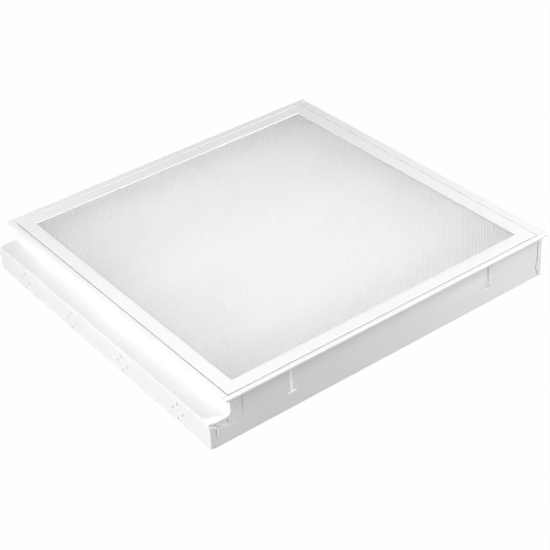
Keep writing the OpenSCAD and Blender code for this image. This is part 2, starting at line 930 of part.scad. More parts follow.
// Metal base of one lamp end, drawn with its face on x = 0 and the tube on its +X side
module lamp_base(y) {
    difference() {
        bar_x(0, base_l, y, lamp_z, base_r);
        bar_x(base_end_t, base_l + cut, y, lamp_z, tube_r);
    }
    for (s = [-1, 1])
        bar_x(-base_pin_l, base_end_t / 2, y + s * pin_pitch / 2, lamp_z, base_pin_r);
}

// Runs a piece that is drawn at the wing end of a lamp at both of its ends
module lamp_ends() {
    translate([lamp_x0, 0, 0])
        children();
    translate([lamp_x1, 0, 0])
        mirror([1, 0, 0])
            children();
}

module lamp_bases(y) {
    color(alu)
        lamp_ends()
            lamp_base(y);
}

// Slotted rotor that turns with the pins of one lamp end
module lamp_rotor(y) {
    slot = 2 * base_pin_r + 0.4;
    difference() {
        bar_x(-lamp_gap - rotor_l, -lamp_gap - 0.2, y, lamp_z, rotor_r);
        translate([0, y, 0])
            box(
                [-base_pin_l - 0.2, -rotor_r - cut, lamp_z - slot / 2],
                [cut, rotor_r + cut, lamp_z + slot / 2]
            );
    }
}

module lamp_rotors(y) {
    color(bright)
        lamp_ends()
            lamp_rotor(y);
}

module lamp_1_tube() {
    lamp_tube(lamp_rows[0]);
}

module lamp_2_tube() {
    lamp_tube(lamp_rows[1]);
}

module lamp_3_tube() {
    lamp_tube(lamp_rows[2]);
}

module lamp_4_tube() {
    lamp_tube(lamp_rows[3]);
}

module lamp_1_bases() {
    lamp_bases(lamp_rows[0]);
}

module lamp_2_bases() {
    lamp_bases(lamp_rows[1]);
}

module lamp_3_bases() {
    lamp_bases(lamp_rows[2]);
}

module lamp_4_bases() {
    lamp_bases(lamp_rows[3]);
}

module lamp_1_rotors() {
    lamp_rotors(lamp_rows[0]);
}

module lamp_2_rotors() {
    lamp_rotors(lamp_rows[1]);
}

module lamp_3_rotors() {
    lamp_rotors(lamp_rows[2]);
}

module lamp_4_rotors() {
    lamp_rotors(lamp_rows[3]);
}

// Ballast: a closed case on two mounting feet
module ballast_case() {
    color(grey)
    difference() {
        translate([ballast_x, mid_y, sheet]) {
            box([-ballast_l / 2, -ballast_w / 2, 0], [ballast_l / 2, ballast_w / 2, ballast_h]);
            box([-ballast_l / 2 - 14, -ballast_w / 2, 0], [ballast_l / 2 + 14, ballast_w / 2, 1.2]);
        }
        for (s = [-1, 1])
            translate([ballast_x + s * (ballast_l / 2 + stud_gap), stud_y, 0])
                cylinder(r = 2.2, h = 3);
    }
}

// Studs on the back with the nuts that hold the ballast
module ballast_nuts() {
    color(zinc)
    for (s = [-1, 1])
        translate([ballast_x + s * (ballast_l / 2 + stud_gap), stud_y, sheet]) {
            cylinder(r = 1.9, h = 6.4);
            translate([0, 0, 1.2])
                cylinder(r = 4, h = 3.2, $fn = 6);
        }
}

// Bent cover over the ballast and its wiring
module ballast_cover() {
    base = cover_base_w / 2;
    top = cover_top_w / 2;
    color(white)
    difference() {
        translate([0, mid_y, 0])
            along_x(cover_x0, cover_x1)
                bent_sheet([
                    [-base - foot_w, sheet + skin],
                    [-base, sheet + skin],
                    [-top, cover_h - skin],
                    [top, cover_h - skin],
                    [base, sheet + skin],
                    [base + foot_w, sheet + skin]
                ], [bend, bend, bend, bend]);
        for (x = screw_xs, y = [mid_y - foot_y, mid_y + foot_y])
            translate([x, y, 0])
                cylinder(r = screw_r, h = 3 * sheet);
    }
}

module cover_screws() {
    color(zinc)
    for (x = screw_xs, y = [mid_y - foot_y, mid_y + foot_y])
        pan_screw(x, y, 2 * sheet);
}

// Wire bundles on the back, from the ballast to every lampholder
module wiring_harness() {
    r = bundle_d / 2;
    color(black) {
        bar_x(branch_left_x, branch_right_x, trunk_y, harness_z, r);
        for (x = [branch_left_x, branch_right_x])
            bar_y(lamp_rows[0] - r, lamp_rows[3] + r, x, harness_z, r);
        for (y = lamp_rows) {
            bar_x(inner_left + holder_t, branch_left_x, y, harness_z, 1.2);
            bar_x(branch_right_x, inner_right - holder_t, y, harness_z, 1.2);
        }
        bar_y(nut_ys[0] - r, trunk_y + r, nut_x - feed_back, nut_z, r);
        translate([nut_x - feed_back, trunk_y, harness_z])
            cylinder(r = r, h = nut_z - harness_z);
        for (y = nut_ys) {
            bar_x(nut_x - feed_back, nut_x, y, nut_z, 1.2);
            bar_x(nut_x + nut_l, ballast_x - ballast_l / 2, y, nut_z, 1.2);
        }
    }
}

// Twist-on wire connectors beside the ballast
module wire_connectors() {
    color(amber)
    for (y = nut_ys)
        translate([nut_x, y, nut_z])
            rotate([0, 90, 0]) {
                cylinder(r = nut_r, h = 7);
                translate([0, 0, 7])
                    cylinder(r1 = nut_r - 0.4, r2 = 2.6, h = nut_l - 7);
            }
}

// Ground screw on the back, beside the access plate
module ground_screw() {
    color(green)
    translate([ground_x, mid_y, sheet]) {
        cylinder(r = ground_r, h = 0.8);
        translate([0, 0, 0.8])
            cylinder(r = 4.2, h = 2.4, $fn = 6);
    }
}

housing_pan();
end_plate_front();
end_plate_rear();
access_plate();
access_screw();
door_rail_left();
door_rail_right();
door_rail_front();
door_rail_rear();
corner_gussets();
prismatic_lens();
lens_clips();
t_hinge_left();
t_hinge_right();
latch_guide_left();
latch_guide_right();
latch_bolt_left();
latch_bolt_right();
lampholder_1_wing();
lampholder_2_wing();
lampholder_3_wing();
lampholder_4_wing();
lampholder_1_plain();
lampholder_2_plain();
lampholder_3_plain();
lampholder_4_plain();
lamp_1_tube();
lamp_1_bases();
lamp_1_rotors();
lamp_2_tube();
lamp_2_bases();
lamp_2_rotors();
lamp_3_tube();
lamp_3_bases();
lamp_3_rotors();
lamp_4_tube();
lamp_4_bases();
lamp_4_rotors();
ballast_case();
ballast_nuts();
ballast_cover();
cover_screws();
wiring_harness();
wire_connectors();
ground_screw();
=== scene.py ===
# Looks of the recessed fluorescent ceiling light, lying lens up on a pale floor.
# Metres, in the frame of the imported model: +Z is the room side, the wing is at -X,
# the hinge end of the door at -Y and the latch end at +Y.
import json
import math

import bpy
from mathutils import Matrix, Vector


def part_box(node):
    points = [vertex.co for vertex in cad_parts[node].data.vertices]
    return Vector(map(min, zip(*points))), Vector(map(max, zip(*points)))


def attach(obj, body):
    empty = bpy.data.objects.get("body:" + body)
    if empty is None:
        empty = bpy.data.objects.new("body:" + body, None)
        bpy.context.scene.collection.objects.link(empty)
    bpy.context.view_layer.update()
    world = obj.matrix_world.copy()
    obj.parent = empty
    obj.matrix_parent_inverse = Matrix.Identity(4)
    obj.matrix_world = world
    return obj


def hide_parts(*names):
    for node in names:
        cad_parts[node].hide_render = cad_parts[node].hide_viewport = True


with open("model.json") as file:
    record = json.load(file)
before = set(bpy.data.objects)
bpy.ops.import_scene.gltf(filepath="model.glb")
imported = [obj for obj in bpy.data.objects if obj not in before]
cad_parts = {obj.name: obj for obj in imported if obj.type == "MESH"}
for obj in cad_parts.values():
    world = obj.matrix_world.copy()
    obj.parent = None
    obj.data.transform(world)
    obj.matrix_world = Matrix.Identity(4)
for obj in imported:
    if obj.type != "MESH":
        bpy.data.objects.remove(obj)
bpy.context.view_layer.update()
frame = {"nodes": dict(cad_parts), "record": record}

MM = 0.001


# Camera, at the photograph's viewing angle
IMAGE_PX = 550
FOCAL_PX = 1463.584
CENTRE_PX = (247.64, 276.815)
AZIMUTH = -33.753
ELEVATION = 34.344
ROLL = -4.802
TARGET = Vector((-107.672, -86.632, 79.4)) * MM
DISTANCE = 2.17653
SENSOR_MM = 36.0
FAR_CLIP = 100.0


def make_camera():
    a, e, r = (math.radians(v) for v in (AZIMUTH, ELEVATION, ROLL))
    back = Vector((math.sin(a) * math.cos(e), -math.cos(a) * math.cos(e), math.sin(e)))
    right = Vector((0, 0, 1)).cross(back).normalized()
    up = back.cross(right)
    x_axis = right * math.cos(r) + up * math.sin(r)
    y_axis = up * math.cos(r) - right * math.sin(r)
    data = bpy.data.cameras.new("camera")
    data.sensor_width = SENSOR_MM
    data.sensor_height = SENSOR_MM
    data.sensor_fit = "HORIZONTAL"
    data.lens = FOCAL_PX / IMAGE_PX * SENSOR_MM
    data.shift_x = (IMAGE_PX / 2 - CENTRE_PX[0]) / IMAGE_PX
    data.shift_y = (CENTRE_PX[1] - IMAGE_PX / 2) / IMAGE_PX
    data.clip_end = FAR_CLIP
    camera = bpy.data.objects.new("camera", data)
    bpy.context.scene.collection.objects.link(camera)
    turn = Matrix((x_axis, y_axis, back)).transposed()
    camera.matrix_world = Matrix.Translation(TARGET + back * DISTANCE) @ turn.to_4x4()
    bpy.context.scene.camera = camera


# Shader nodes. The sockets of a Mix node that is set to colour have no names of their own.
MIX_SHARE, MIX_START, MIX_END = 0, 6, 7
MIX_COLOUR = 2


def new_material(name):
    material = bpy.data.materials.new(name)
    material.use_nodes = True
    tree = material.node_tree
    return material, tree, tree.nodes["Principled BSDF"]


def node(tree, kind, **values):
    """A new node; each value goes to the input of that name, or else to the node's setting."""
    made = tree.nodes.new(kind)
    for key, value in values.items():
        if key in made.inputs:
            made.inputs[key].default_value = value
        else:
            setattr(made, key, value)
    return made


def feed(tree, value, socket):
    """Sets a socket to a number, or links another socket to it."""
    if isinstance(value, float):
        socket.default_value = value
    else:
        tree.links.new(value, socket)


def calculated(tree, operation, *parts):
    """The result of a Math node; each part is a number or a socket."""
    made = node(tree, "ShaderNodeMath", operation=operation)
    for part, socket in zip(parts, made.inputs):
        feed(tree, part, socket)
    return made.outputs[0]


def object_place(tree):
    return tree.nodes.new("ShaderNodeTexCoord").outputs["Object"]


def mapped_place(tree, **settings):
    made = node(tree, "ShaderNodeMapping", **settings)
    tree.links.new(object_place(tree), made.inputs["Vector"])
    return made.outputs["Vector"]


def axes(tree, place):
    split = tree.nodes.new("ShaderNodeSeparateXYZ")
    tree.links.new(place, split.inputs["Vector"])
    return split.outputs


def noise(tree, scale, detail=3.0, rough=0.55, place=None):
    made = node(tree, "ShaderNodeTexNoise", Scale=scale, Detail=detail, Roughness=rough)
    if place is None:
        place = object_place(tree)
    tree.links.new(place, made.inputs["Vector"])
    return made.outputs["Fac"]


def ramp(tree, source, *stops):
    """A colour ramp through stops of (place, colour)."""
    made = tree.nodes.new("ShaderNodeValToRGB")
    elements = made.color_ramp.elements
    while len(elements) < len(stops):
        elements.new(0.5)
    for element, (place, colour) in zip(elements, stops):
        element.position = place
        element.color = (*colour, 1.0)
    tree.links.new(source, made.inputs["Fac"])
    return made.outputs["Color"]


def mixed(tree, share, start, end):
    """A colour that goes from the socket start to the plain colour end with share."""
    made = node(tree, "ShaderNodeMix", data_type="RGBA")
    made.inputs[MIX_END].default_value = (*end, 1.0)
    tree.links.new(share, made.inputs[MIX_SHARE])
    tree.links.new(start, made.inputs[MIX_START])
    return made.outputs[MIX_COLOUR]


def spread(tree, source, low, high):
    """A number that goes from low to high while source goes from nought to one."""
    made = tree.nodes.new("ShaderNodeMapRange")
    made.inputs["To Min"].default_value = low
    made.inputs["To Max"].default_value = high
    tree.links.new(source, made.inputs["Value"])
    return made.outputs["Result"]


def bump(tree, shader, height, strength, distance):
    made = node(tree, "ShaderNodeBump", Strength=strength, Distance=distance)
    tree.links.new(height, made.inputs["Height"])
    tree.links.new(made.outputs["Normal"], shader.inputs["Normal"])


def surface(tree, share, first, second):
    """Gives the material a mix of two shaders, with share of the second."""
    blend = tree.nodes.new("ShaderNodeMixShader")
    feed(tree, share, blend.inputs[0])
    tree.links.new(first.outputs[0], blend.inputs[1])
    tree.links.new(second.outputs[0], blend.inputs[2])
    tree.links.new(blend.outputs[0], tree.nodes["Material Output"].inputs["Surface"])


def grey(value, tint):
    return tuple(value * part for part in tint)


BLACK = (0.0, 0.0, 0.0)
WHITE = (1.0, 1.0, 1.0)

# Enamels: value, tint and roughness
ENAMELS = {
    "housing_paint": (0.915, (1.0, 1.0, 0.995), 0.30),
    "door_paint": (0.925, (1.0, 1.0, 0.997), 0.34),
}
ENAMEL_DRIFT = (0.985, 1.012)
ENAMEL_SPREAD = (-0.04, 0.05)
ENAMEL_PEEL = 0.08
SCUFF_LIFT = 1.06
SCUFF_SLANT = math.radians(38)
SCUFF_STRETCH = (3.0, 60.0, 12.0)
SCUFF_EDGE = (0.72, 0.76)


# Pale slanting scuffs where the sheet has been handled: one on a scuff, nought elsewhere
def scuffs(tree):
    slant = mapped_place(tree, Rotation=(SCUFF_SLANT, 0.0, 0.0), Scale=SCUFF_STRETCH)
    marks = noise(tree, scale=1.0, detail=2.0, rough=0.5, place=slant)
    return ramp(tree, marks, (SCUFF_EDGE[0], BLACK), (SCUFF_EDGE[1], WHITE))


# Baked enamel: nearly even white, a fine orange peel, and a slow drift of tone
def enamel(name, value, tint, roughness):
    material, tree, shader = new_material(name)
    low, high = (grey(value * part, tint) for part in ENAMEL_DRIFT)
    even = ramp(tree, noise(tree, scale=9.0, detail=2.0), (0.3, low), (0.7, high))
    scuffed = grey(min(1.0, value * SCUFF_LIFT), tint)
    tree.links.new(mixed(tree, scuffs(tree), even, scuffed), shader.inputs["Base Color"])
    smooth, rough = (roughness + part for part in ENAMEL_SPREAD)
    tree.links.new(spread(tree, noise(tree, scale=60.0), smooth, rough), shader.inputs["Roughness"])
    bump(tree, shader, noise(tree, scale=900.0, detail=2.0), ENAMEL_PEEL, 0.2 * MM)
    shader.inputs["Specular IOR Level"].default_value = 0.5
    return material


# Bare metals: value, tint, roughness and the closeness of the grain along X, Y and Z
METALS = {
    "zinc_steel": (0.62, (0.98, 1.0, 1.02), 0.34, (90.0, 90.0, 14.0)),
    "lamp_base_metal": (0.72, (1.0, 1.0, 1.01), 0.26, (20.0, 160.0, 160.0)),
}
METAL_DRIFT = (0.86, 1.06)
METAL_SPREAD = (-0.08, 0.12)


def metal(name, value, tint, roughness, grain):
    material, tree, shader = new_material(name)
    streak = noise(tree, scale=1.0, detail=4.0, rough=0.5, place=mapped_place(tree, Scale=grain))
    low, high = (grey(value * part, tint) for part in METAL_DRIFT)
    tree.links.new(ramp(tree, streak, (0.25, low), (0.75, high)), shader.inputs["Base Color"])
    shader.inputs["Metallic"].default_value = 1.0
    smooth, rough = (roughness + part for part in METAL_SPREAD)
    tree.links.new(spread(tree, streak, smooth, rough), shader.inputs["Roughness"])
    bump(tree, shader, streak, 0.12, 0.1 * MM)
    return material


# Plastics and dark paint: colour, roughness and how far the colour speckles
PLASTICS = {
    "holder_plastic": ((0.84, 0.84, 0.80), 0.36, 0.03),
    "rotor_plastic": ((0.88, 0.88, 0.86), 0.30, 0.03),
    "ballast_paint": ((0.32, 0.33, 0.35), 0.42, 0.03),
    "wire_insulation": ((0.02, 0.02, 0.022), 0.45, 0.2),
    "wire_white": ((0.78, 0.78, 0.76), 0.45, 0.08),
    "wire_blue": ((0.03, 0.10, 0.42), 0.45, 0.1),
    "wire_red": ((0.50, 0.03, 0.03), 0.45, 0.1),
    "wire_yellow": ((0.72, 0.52, 0.05), 0.45, 0.1),
    "connector_plastic": ((0.72, 0.30, 0.04), 0.4, 0.03),
    "ground_green": ((0.03, 0.18, 0.06), 0.3, 0.03),
}


def plastic(name, colour, roughness, speckle):
    material, tree, shader = new_material(name)
    low = tuple(part * (1 - speckle) for part in colour)
    high = tuple(min(1.0, part * (1 + speckle)) for part in colour)
    tone = ramp(tree, noise(tree, scale=50.0), (0.3, low), (0.7, high))
    tree.links.new(tone, shader.inputs["Base Color"])
    shader.inputs["Roughness"].default_value = roughness
    bump(tree, shader, noise(tree, scale=400.0), 0.06, 0.2 * MM)
    return material


# Prismatic lens: a sheet whose room side is covered with small four-sided pyramids,
# in rows at 45 degrees to its edges
PRISM_STEP = (3.15 * MM, 3.35 * MM)
PRISM_HEIGHT = 0.8 * MM
LENS_THROUGH = 0.64
# Colours of the painted shade on the prisms, at the pits and on the saddles; the tips stay white as a
# painted highlight
LENS_PIT_PAINTED_SHADE = (0.92, 0.93, 0.934)
LENS_SADDLE_PAINTED_SHADE = (0.85, 0.86, 0.864)
ACRYLIC_IOR = 1.49
BACK_CLEAR = 0.95


def prism_grid():
    """The lens's two corners, the step between tips and pits along X and Y, and the steps' counts."""
    low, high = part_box("prismatic_lens")
    count = [round((high[k] - low[k]) / PRISM_STEP[k]) for k in (0, 1)]
    step = [(high[k] - low[k]) / count[k] for k in (0, 1)]
    return low, high, step, count


# Acrylic: part of the light is thrown back and part goes on through, both well spread.
# The colour carries painted light: a painted highlight at the tip of each prism, painted shade on the
# pits, and the darkest painted shade on the saddles between the tips.
def lens_material():
    material, tree, shader = new_material("lens_acrylic")
    origin, _, step, _ = prism_grid()
    turns = [math.pi / part for part in step]
    offset = (-origin[0] * turns[0], -origin[1] * turns[1], 0.0)
    grid = axes(tree, mapped_place(tree, Scale=(*turns, 1.0), Location=offset))
    waves = [calculated(tree, "COSINE", grid[axis]) for axis in "XY"]
    height = calculated(tree, "MULTIPLY", calculated(tree, "MULTIPLY_ADD", *waves, 1.0), 0.5)
    # Painted shade and highlight, placed by the prism grid: darker on the pits and saddles, white at
    # the tips
    tone = ramp(tree, height, (0.05, LENS_PIT_PAINTED_SHADE), (0.5, LENS_SADDLE_PAINTED_SHADE), (0.95, WHITE))
    tree.links.new(tone, shader.inputs["Base Color"])
    shader.inputs["Roughness"].default_value = 0.2
    shader.inputs["IOR"].default_value = ACRYLIC_IOR
    bump(tree, shader, noise(tree, scale=500.0, detail=2.0), 0.05, 0.1 * MM)
    through = node(tree, "ShaderNodeBsdfTranslucent")
    tree.links.new(tone, through.inputs["Color"])
    surface(tree, LENS_THROUGH, shader, through)
    return material


# The lens's flat side: clear, with a faint gloss
def clear_back_material():
    material, tree, shader = new_material("lens_back")
    tone = ramp(tree, noise(tree, scale=12.0), (0.3, (0.9, 0.91, 0.92)), (0.7, (0.95, 0.96, 0.96)))
    tree.links.new(tone, shader.inputs["Base Color"])
    shader.inputs["Roughness"].default_value = 0.12
    surface(tree, BACK_CLEAR, shader, node(tree, "ShaderNodeBsdfTransparent"))
    return material


# Lamp glass: even white phosphor, grey near both ends of the tube
PHOSPHOR = ((0.88, 0.88, 0.855), (0.91, 0.91, 0.885))
WORN_PHOSPHOR = (0.52, 0.50, 0.46)
WORN_FROM = 0.9
WORN_FULLY = 0.985


def glass_material():
    material, tree, shader = new_material("lamp_glass")
    low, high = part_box("lamp_1_tube")
    middle, half = (low.x + high.x) / 2, (high.x - low.x) / 2
    offset = calculated(tree, "SUBTRACT", axes(tree, object_place(tree))["X"], middle)
    share = calculated(tree, "DIVIDE", calculated(tree, "ABSOLUTE", offset), half)
    wear = ramp(tree, share, (WORN_FROM, BLACK), (WORN_FULLY, WHITE))
    fresh = ramp(tree, noise(tree, scale=20.0, detail=2.0), (0.3, PHOSPHOR[0]), (0.7, PHOSPHOR[1]))
    tree.links.new(mixed(tree, wear, fresh, WORN_PHOSPHOR), shader.inputs["Base Color"])
    shader.inputs["Roughness"].default_value = 0.12
    shader.inputs["Coat Weight"].default_value = 0.5
    shader.inputs["Coat Roughness"].default_value = 0.03
    bump(tree, shader, noise(tree, scale=300.0, detail=2.0), 0.02, 0.1 * MM)
    return material


def make_materials():
    made = {"lens_acrylic": lens_material(), "lens_back": clear_back_material(),
            "lamp_glass": glass_material()}
    for kind, finishes in ((enamel, ENAMELS), (metal, METALS), (plastic, PLASTICS)):
        for name, values in finishes.items():
            made[name] = kind(name, *values)
    return made


# Floor and world: seen directly they are white; the light that they throw is far weaker
FLOOR_HALF = 14.0
FLOOR_TONE = (0.42, 0.42, 0.42, 1.0)
FLOOR_SEEN = 0.985
WORLD_LEVEL = 0.03


def seen_directly(tree):
    """One where a ray comes straight from the camera, a mirror or glass; nought elsewhere."""
    path = tree.nodes.new("ShaderNodeLightPath").outputs
    mirrored = calculated(tree, "MAXIMUM", path["Is Camera Ray"], path["Is Glossy Ray"])
    return calculated(tree, "MAXIMUM", mirrored, path["Is Transmission Ray"])


def make_floor():
    mesh = bpy.data.meshes.new("floor")
    corners = [(x * FLOOR_HALF, y * FLOOR_HALF, 0) for x, y in ((-1, -1), (1, -1), (1, 1), (-1, 1))]
    mesh.from_pydata(corners, [], [(0, 1, 2, 3)])
    floor = bpy.data.objects.new("floor", mesh)
    bpy.context.scene.collection.objects.link(floor)
    material, tree, shader = new_material("floor_white")
    shader.inputs["Base Color"].default_value = FLOOR_TONE
    shader.inputs["Roughness"].default_value = 0.9
    shader.inputs["Specular IOR Level"].default_value = 0.0
    glow = node(tree, "ShaderNodeEmission", Strength=1.0)
    surface(tree, calculated(tree, "MULTIPLY", seen_directly(tree), FLOOR_SEEN), shader, glow)
    mesh.materials.append(material)


def make_world():
    world = bpy.data.worlds.new("world")
    world.use_nodes = True
    tree = world.node_tree
    plain = tree.nodes["Background"]
    plain.inputs["Color"].default_value = (*WHITE, 1.0)
    tree.links.new(spread(tree, seen_directly(tree), WORLD_LEVEL, 1.0), plain.inputs["Strength"])
    bpy.context.scene.world = world


# Square soft lamps: place, aim, side and watts
LAMPS = {
    "key": ((-1.5, -0.35, 1.3), (-0.1, 0.0, 0.05), 1.1, 20.8),
    "left": ((-1.6, 0.05, 0.6), (-0.1, 0.0, 0.05), 0.6, 7.8),
    "front_right": ((1.6, -1.35, 1.05), (0.1, -0.1, 0.05), 0.5, 31.5),
    "near_right": ((0.75, -0.95, 1.25), (0.2, -0.2, 0.05), 0.5, 5.0),
    "top": ((-0.2, 0.2, 2.2), (0.0, 0.0, 0.0), 1.6, 7.0),
}


def make_lamps():
    for name, (place, aim, side, watts) in LAMPS.items():
        data = bpy.data.lights.new(name, "AREA")
        data.shape = "SQUARE"
        data.size = side
        data.energy = watts
        lamp = bpy.data.objects.new(name, data)
        bpy.context.scene.collection.objects.link(lamp)
        lamp.location = place
        lamp.rotation_euler = (Vector(aim) - Vector(place)).to_track_quat("-Z", "Y").to_euler()


# Pieces that the scene adds
def new_piece(name, verts, faces, material, body):
    """Makes a mesh into a piece with the given material, parented to the empty of a body."""
    mesh = bpy.data.meshes.new(name)
    mesh.from_pydata(verts, [], faces)
    mesh.materials.append(material)
    piece = bpy.data.objects.new(name, mesh)
    bpy.context.scene.collection.objects.link(piece)
    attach(piece, body)
    return piece


def housing_piece(name, verts, faces, materials):
    return new_piece(name, verts, faces, materials["housing_paint"], "housing")


def middle_of(name):
    low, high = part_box(name)
    return (low + high) / 2


# The lens is an open shell with the prisms on top, and a flat back that closes it
def prism_lens(materials):
    low, high, (dx, dy), (columns, rows) = prism_grid()
    points, faces = [], []
    for j in range(rows + 1):
        for i in range(columns + 1):
            drop = 0.0 if (i + j) % 2 == 0 else PRISM_HEIGHT
            points.append((low.x + i * dx, low.y + j * dy, high.z - drop))

    def at(i, j):
        return j * (columns + 1) + i

    for j in range(rows):
        for i in range(columns):
            a, b, c, d = at(i, j), at(i + 1, j), at(i + 1, j + 1), at(i, j + 1)
            if (i + j) % 2 == 0:
                faces += [(a, b, d), (b, c, d)]
            else:
                faces += [(a, b, c), (a, c, d)]
    rim = [at(i, 0) for i in range(columns)] + [at(columns, j) for j in range(rows)]
    rim += [at(i, rows) for i in range(columns, 0, -1)] + [at(0, j) for j in range(rows, 0, -1)]
    base = len(points)
    foot = [(points[k][0], points[k][1], low.z) for k in rim]
    count = len(rim)
    for k in range(count):
        n = (k + 1) % count
        faces.append((rim[k], base + k, base + n, rim[n]))
    lens = new_piece("lens_prisms", points + foot, faces, materials["lens_acrylic"],
                     "door")
    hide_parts("prismatic_lens")
    new_piece("lens_back", foot, [tuple(reversed(range(count)))], materials["lens_back"],
              "door")


# Small forms on both end plates, which stand back from the trim's edge by these overhangs
FRONT_OVERHANG = 10.6 * MM
REAR_OVERHANG = 5.0 * MM
SHEET = 0.8 * MM


def end_plates():
    """Name, outward direction along Y and outer face of each end plate."""
    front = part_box("end_plate_front")[0].y + FRONT_OVERHANG
    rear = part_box("end_plate_rear")[1].y - REAR_OVERHANG
    return (("front", -1, front), ("rear", 1, rear))


# Spot welds through the folded tabs: x and z in millimetres, and how far the tab stands out.
# A weld is a pressed ring round a flat middle, given by the radius and height of its profile.
TAB_PROUD = 0.3 * MM
WELD_PLACES = [(-320.6, 25.0, SHEET), (-307.5, 36.6, TAB_PROUD), (-284.8, 58.5, TAB_PROUD),
               (294.8, 12.5, SHEET), (294.8, 38.0, SHEET), (294.8, 59.0, SHEET)]
WELD_PROFILE = [(0.0, 0.03), (0.55, 0.05), (0.95, 0.14), (1.3, 0.16), (1.6, 0.08), (1.8, 0.0)]


def lathe(profile, sides=20):
    """Vertices and faces of a profile of (radius, height) turned about Z."""
    verts = [(0.0, 0.0, profile[0][1])]
    faces = []
    for radius, height in profile[1:]:
        for n in range(sides):
            angle = math.tau * n / sides
            verts.append((radius * math.cos(angle), radius * math.sin(angle), height))
    for n in range(sides):
        faces.append((0, 1 + n, 1 + (n + 1) % sides))
    for k in range(len(profile) - 2):
        for n in range(sides):
            a, b = 1 + k * sides + n, 1 + k * sides + (n + 1) % sides
            faces.append((a, a + sides, b + sides, b))
    return verts, faces


def spot_welds(materials):
    verts, faces = lathe(WELD_PROFILE)
    for end, out, web in end_plates():
        for k, (x, z, proud) in enumerate(WELD_PLACES):
            centre = Vector((x * MM, web + out * proud, z * MM))
            places = []
            for across, up, height in verts:
                places.append(centre + Vector((across, out * height, out * up)) * MM)
            weld = housing_piece("weld_%s_%d" % (end, k + 1), places, faces, materials)
            weld.data.shade_smooth()


# Pressed lips beside the folded tabs at the wing's corner: the height of each, and x and z
# along it, in millimetres. A lip stands up toward its tab and slopes away behind.
LIP_ROOT = 0.5 * MM
LIP_SLOPE = 3.0 * MM
LIP_LINES = {
    "wing": (2.0, [(-315.0, 34.0), (-315.1, 32.0), (-315.2, 18.0), (-315.3, 16.0)]),
    "shelf": (1.4, [(-294.6, 39.5), (-294.8, 37.8), (-296.2, 34.2), (-300.6, 32.2),
                    (-307.7, 34.0), (-309.0, 34.6)]),
    "side": (0.8, [(-279.6, 60.0), (-279.6, 58.5), (-279.8, 53.3), (-285.5, 49.6),
                   (-289.8, 48.2), (-291.0, 48.0)]),
}


def lip(line, height, out, web):
    """Vertices and faces of one lip, which runs out to nothing at both ends."""
    root = web - out * LIP_ROOT
    last = len(line) - 1
    verts, faces = [], []
    for k, (x, z) in enumerate(line):
        along = (Vector(line[min(k + 1, last)]) - Vector(line[max(k - 1, 0)])).normalized()
        behind = Vector((x, z)) * MM + Vector((-along.y, along.x)) * LIP_SLOPE
        crest = height * MM if 0 < k < last else 0.0
        verts += [(x * MM, root, z * MM), (x * MM, web + out * crest, z * MM),
                  (behind.x, root, behind.y)]
    for a in range(0, 3 * last, 3):
        faces += [(a, a + 3, a + 4, a + 1), (a + 1, a + 4, a + 5, a + 2)]
    return verts, faces


def pocket_lips(materials):
    for end, out, web in end_plates():
        for name, (height, line) in LIP_LINES.items():
            verts, faces = lip(line, height, out, web)
            housing_piece("lip_%s_%s" % (name, end), verts, faces, materials)


# Ledge that fills the trim's opening beside the door's plain rail and its latch rail, a
# running gap away from the door, with a short lip bent down at its inner edge
TRIM_STRIP = 8.6 * MM
LEDGE_GAP = 1.0 * MM
LEDGE_TUCK = 1.2 * MM
LEDGE_SINK = 0.02 * MM
LEDGE_LIP = 2.0 * MM
LEDGE_BEND = 0.8 * MM
BEND_STEPS = 4


def ledge_section(top, bottom):
    """Points of (share of the ledge's width, distance inward from its edge, z)."""
    section = [(0.0, 0.0, bottom)]
    for k in range(BEND_STEPS + 1):
        angle = math.pi / 2 * k / BEND_STEPS
        section.append((0.0, LEDGE_BEND * (1 - math.cos(angle)),
                        top - LEDGE_BEND * (1 - math.sin(angle))))
    section += [(1.0, 0.0, top), (1.0, 0.0, top - SHEET), (0.0, SHEET, top - SHEET),
                (0.0, SHEET, bottom)]
    return section


def trim_ledge(materials):
    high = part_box("housing_pan")[1]
    opening = high.x - TRIM_STRIP
    corner = Vector((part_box("door_rail_right")[1].x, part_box("door_rail_rear")[1].y, 0))
    corner += Vector((LEDGE_GAP, LEDGE_GAP, 0))
    wide = Vector((opening + LEDGE_TUCK - corner.x, opening + LEDGE_TUCK - corner.y))
    section = ledge_section(high.z - LEDGE_SINK, high.z - LEDGE_LIP)
    start = -opening - SHEET / 2
    verts, faces = [], []
    for station in range(3):
        for share, inset, z in section:
            x = corner.x + share * wide.x + inset if station < 2 else start
            y = corner.y + share * wide.y + inset if station > 0 else start
            verts.append((x, y, z))
    count = len(section)
    for station in range(2):
        for k in range(count):
            a, b = station * count + k, station * count + (k + 1) % count
            faces.append((a, a + count, b + count, b))
    faces.append(tuple(range(count)))
    faces.append(tuple(reversed(range(2 * count, 3 * count))))
    housing_piece("trim_ledge", verts, faces, materials)


# Radii, in millimetres, of the cut edges of the sheets and the moulded edges of the plastic
EDGE_ROUND = {"housing_paint": 0.12, "door_paint": 0.15, "zinc_steel": 0.12,
              "holder_plastic": 0.3, "ballast_paint": 0.5}
ROUND_STEPS = 2
SHARP_FROM = math.radians(40)


def round_edges(slots):
    for name, obj in frame["nodes"].items():
        if slots[name] not in EDGE_ROUND:
            continue
        rounded = obj.modifiers.new("rounded_edges", "BEVEL")
        rounded.width = EDGE_ROUND[slots[name]] * MM
        rounded.segments = ROUND_STEPS
        rounded.limit_method = "ANGLE"
        rounded.angle_limit = SHARP_FROM
        rounded.use_clamp_overlap = True


def paint_nodes(materials, slots):
    for name, obj in frame["nodes"].items():
        obj.data.materials.clear()
        obj.data.materials.append(materials[slots[name]])


